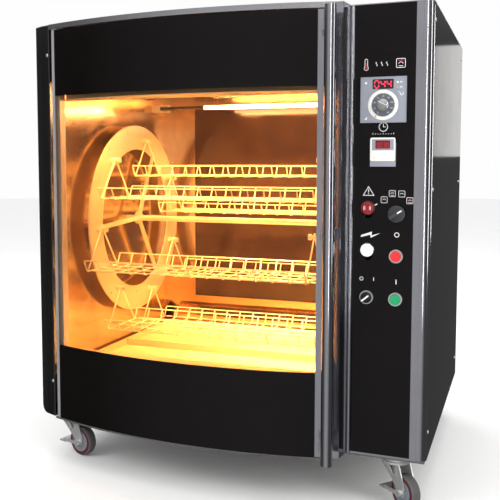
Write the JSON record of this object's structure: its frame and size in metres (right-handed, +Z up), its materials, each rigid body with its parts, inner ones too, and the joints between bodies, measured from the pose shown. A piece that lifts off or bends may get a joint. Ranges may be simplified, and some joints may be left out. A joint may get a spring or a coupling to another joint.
{
  "type": "rotisserie oven",
  "caption": "Floor-standing electric rotisserie oven with a bowed glass door, a driven cage of hanging wire baskets, a control column and swivel castors.",
  "frame": {"origin": "on the floor, under the middle of the oven's outer box", "axes": "+X to the oven's right seen from the front, +Y from the front to the back, +Z up"},
  "size_m": [0.974, 0.8715, 1.09],
  "materials": {
    "steel_satin": "satin",
    "steel_dark": "satin",
    "steel_mirror": "polished",
    "steel_cavity": "satin, heat tinted",
    "frame_paint": "matte",
    "glass_black": "polished, enamelled black",
    "door_glass": "polished, black enamel bands",
    "glass_tinted": "polished, tinted",
    "heater_quartz": "glowing quartz",
    "ceramic": "glazed ceramic",
    "instrument_plastic": "fine grain",
    "lens_red": "clear lens",
    "button_red": "moulded",
    "button_green": "moulded",
    "knob_dark": "fine grain",
    "knob_silver": "turned",
    "cast_grey": "painted cast housing",
    "rotor_steel": "satin",
    "basket_wire": "polished wire",
    "zinc": "zinc plated",
    "castor_tyre": "moulded polyurethane",
    "gland_plastic": "moulded nylon"
  },
  "bodies": {
    "cabinet": {"base_frame": "frame_paint", "left_side_panel": "steel_satin", "right_side_panel": "steel_satin", "top_panel": "steel_satin", "back_panel": "steel_satin", "left_front_column": "steel_dark", "front_frame": "steel_cavity", "door_jamb": "steel_mirror", "control_fascia": "steel_mirror", "control_glass": "glass_black", "cavity_left_wall": "steel_cavity", "cavity_right_wall": "steel_cavity", "cavity_ceiling": "steel_cavity", "cavity_floor": "steel_cavity", "cavity_back_wall": "steel_cavity", "rear_window_glass": "glass_tinted", "drip_tray": "steel_cavity", "heater_tubes": "heater_quartz", "heater_holders": "ceramic", "panel_instruments": "instrument_plastic", "panel_indicators": "lens_red", "control_bezels": "zinc", "gearmotor": "cast_grey", "shaft_bearings": "cast_grey", "hinge_pins": "zinc", "castor_plates": "zinc", "power_box": "frame_paint", "cable_gland": "gland_plastic", "body_screws": "zinc"},
    "door": {"door_glass": "door_glass", "door_frame": "steel_satin", "door_ledges": "steel_cavity", "door_right_stile": "steel_mirror", "handle_tube": "steel_mirror", "handle_standoffs": "steel_satin"},
    "rotor": {"rotor_shaft": "rotor_steel", "left_ring": "rotor_steel", "right_ring": "rotor_steel", "pivot_pins": "rotor_steel"},
    "basket_1": {"basket_1": "basket_wire"},
    "basket_2": {"basket_2": "basket_wire"},
    "basket_3": {"basket_3": "basket_wire"},
    "basket_4": {"basket_4": "basket_wire"},
    "basket_5": {"basket_5": "basket_wire"},
    "basket_6": {"basket_6": "basket_wire"},
    "basket_7": {"basket_7": "basket_wire"},
    "temperature_dial": {"temperature_dial": "knob_silver"},
    "function_knob": {"function_knob": "knob_dark"},
    "power_switch_knob": {"power_switch_knob": "knob_dark"},
    "start_button": {"start_button": "button_green"},
    "stop_button": {"stop_button": "button_red"},
    "castor_fork_fl": {"castor_fork_fl": "zinc"},
    "castor_wheel_fl": {"castor_wheel_fl": "castor_tyre"},
    "castor_fork_fr": {"castor_fork_fr": "zinc"},
    "castor_wheel_fr": {"castor_wheel_fr": "castor_tyre"},
    "castor_fork_rl": {"castor_fork_rl": "zinc"},
    "castor_wheel_rl": {"castor_wheel_rl": "castor_tyre"},
    "castor_fork_rr": {"castor_fork_rr": "zinc"},
    "castor_wheel_rr": {"castor_wheel_rr": "castor_tyre"},
    "brake_pedal_fl": {"brake_pedal_fl": "zinc"},
    "brake_pedal_fr": {"brake_pedal_fr": "zinc"}
  },
  "joints": [
    {"name": "door_swing", "type": "hinge", "parent": "cabinet", "child": "door", "pos_m": [-0.415, -0.35225, 0.593], "axis": [0, 0, -1], "range_deg": [0, 105]},
    {"name": "rotor_turn", "type": "hinge", "parent": "cabinet", "child": "rotor", "pos_m": [-0.095, 0.04675, 0.591], "axis": [1, 0, 0], "continuous": true},
    {"name": "basket_1_swing", "type": "hinge", "parent": "rotor", "child": "basket_1", "pos_m": [-0.095, 0.08273, 0.81817], "axis": [1, 0, 0], "continuous": true},
    {"name": "basket_2_swing", "type": "hinge", "parent": "rotor", "child": "basket_2", "pos_m": [-0.095, 0.24679, 0.70451], "axis": [1, 0, 0], "continuous": true},
    {"name": "basket_3_swing", "type": "hinge", "parent": "rotor", "child": "basket_3", "pos_m": [-0.095, 0.26022, 0.50537], "axis": [1, 0, 0], "continuous": true},
    {"name": "basket_4_swing", "type": "hinge", "parent": "rotor", "child": "basket_4", "pos_m": [-0.095, 0.1129, 0.37072], "axis": [1, 0, 0], "continuous": true},
    {"name": "basket_5_swing", "type": "hinge", "parent": "rotor", "child": "basket_5", "pos_m": [-0.095, -0.08423, 0.40194], "axis": [1, 0, 0], "continuous": true},
    {"name": "basket_6_swing", "type": "hinge", "parent": "rotor", "child": "basket_6", "pos_m": [-0.095, -0.18273, 0.57553], "axis": [1, 0, 0], "continuous": true},
    {"name": "basket_7_swing", "type": "hinge", "parent": "rotor", "child": "basket_7", "pos_m": [-0.095, -0.10842, 0.76077], "axis": [1, 0, 0], "continuous": true},
    {"name": "temperature_dial_turn", "type": "hinge", "parent": "cabinet", "child": "temperature_dial", "pos_m": [0.384, -0.33825, 0.8765], "axis": [0, 1, 0], "range_deg": [-84, 208]},
    {"name": "function_knob_turn", "type": "hinge", "parent": "cabinet", "child": "function_knob", "pos_m": [0.416, -0.33825, 0.647], "axis": [0, 1, 0], "range_deg": [-114, 0]},
    {"name": "power_switch_turn", "type": "hinge", "parent": "cabinet", "child": "power_switch_knob", "pos_m": [0.353, -0.33825, 0.4644], "axis": [0, 1, 0], "range_deg": [-90, 0]},
    {"name": "start_button_press", "type": "slide", "parent": "cabinet", "child": "start_button", "axis": [0, 1, 0], "range_m": [0, 0.004], "stiffness_N_per_m": 400, "springref_m": -0.002},
    {"name": "stop_button_press", "type": "slide", "parent": "cabinet", "child": "stop_button", "axis": [0, 1, 0], "range_m": [0, 0.004], "stiffness_N_per_m": 400, "springref_m": -0.002},
    {"name": "castor_fl_swivel", "type": "hinge", "parent": "cabinet", "child": "castor_fork_fl", "pos_m": [-0.417, -0.29025, 0.098], "axis": [0, 0, 1], "continuous": true},
    {"name": "castor_fl_roll", "type": "hinge", "parent": "castor_fork_fl", "child": "castor_wheel_fl", "pos_m": [-0.38416, -0.29905, 0.0375], "axis": [0.2588, 0.9659, 0], "continuous": true},
    {"name": "castor_fr_swivel", "type": "hinge", "parent": "cabinet", "child": "castor_fork_fr", "pos_m": [0.417, -0.29025, 0.098], "axis": [0, 0, 1], "continuous": true},
    {"name": "castor_fr_roll", "type": "hinge", "parent": "castor_fork_fr", "child": "castor_wheel_fr", "pos_m": [0.44227, -0.313, 0.0375], "axis": [0.6691, 0.7431, 0], "continuous": true},
    {"name": "castor_rl_swivel", "type": "hinge", "parent": "cabinet", "child": "castor_fork_rl", "pos_m": [-0.417, 0.38375, 0.098], "axis": [0, 0, 1], "continuous": true},
    {"name": "castor_rl_roll", "type": "hinge", "parent": "castor_fork_rl", "child": "castor_wheel_rl", "pos_m": [-0.44227, 0.361, 0.0375], "axis": [0.6691, -0.7431, 0], "continuous": true},
    {"name": "castor_rr_swivel", "type": "hinge", "parent": "cabinet", "child": "castor_fork_rr", "pos_m": [0.417, 0.38375, 0.098], "axis": [0, 0, 1], "continuous": true},
    {"name": "castor_rr_roll", "type": "hinge", "parent": "castor_fork_rr", "child": "castor_wheel_rr", "pos_m": [0.434, 0.3543, 0.0375], "axis": [0.866, 0.5, 0], "continuous": true},
    {"name": "brake_fl_press", "type": "hinge", "parent": "castor_fork_fl", "child": "brake_pedal_fl", "pos_m": [-0.38416, -0.29905, 0.0375], "axis": [-0.2588, -0.9659, 0], "range_deg": [0, 12]},
    {"name": "brake_fr_press", "type": "hinge", "parent": "castor_fork_fr", "child": "brake_pedal_fr", "pos_m": [0.44227, -0.313, 0.0375], "axis": [-0.6691, -0.7431, 0], "range_deg": [0, 12]}
  ],
  "couplings": [
    {"joint": "basket_1_swing", "follows": "rotor_turn", "ratio": -1},
    {"joint": "basket_2_swing", "follows": "rotor_turn", "ratio": -1},
    {"joint": "basket_3_swing", "follows": "rotor_turn", "ratio": -1},
    {"joint": "basket_4_swing", "follows": "rotor_turn", "ratio": -1},
    {"joint": "basket_5_swing", "follows": "rotor_turn", "ratio": -1},
    {"joint": "basket_6_swing", "follows": "rotor_turn", "ratio": -1},
    {"joint": "basket_7_swing", "follows": "rotor_turn", "ratio": -1}
  ]
}
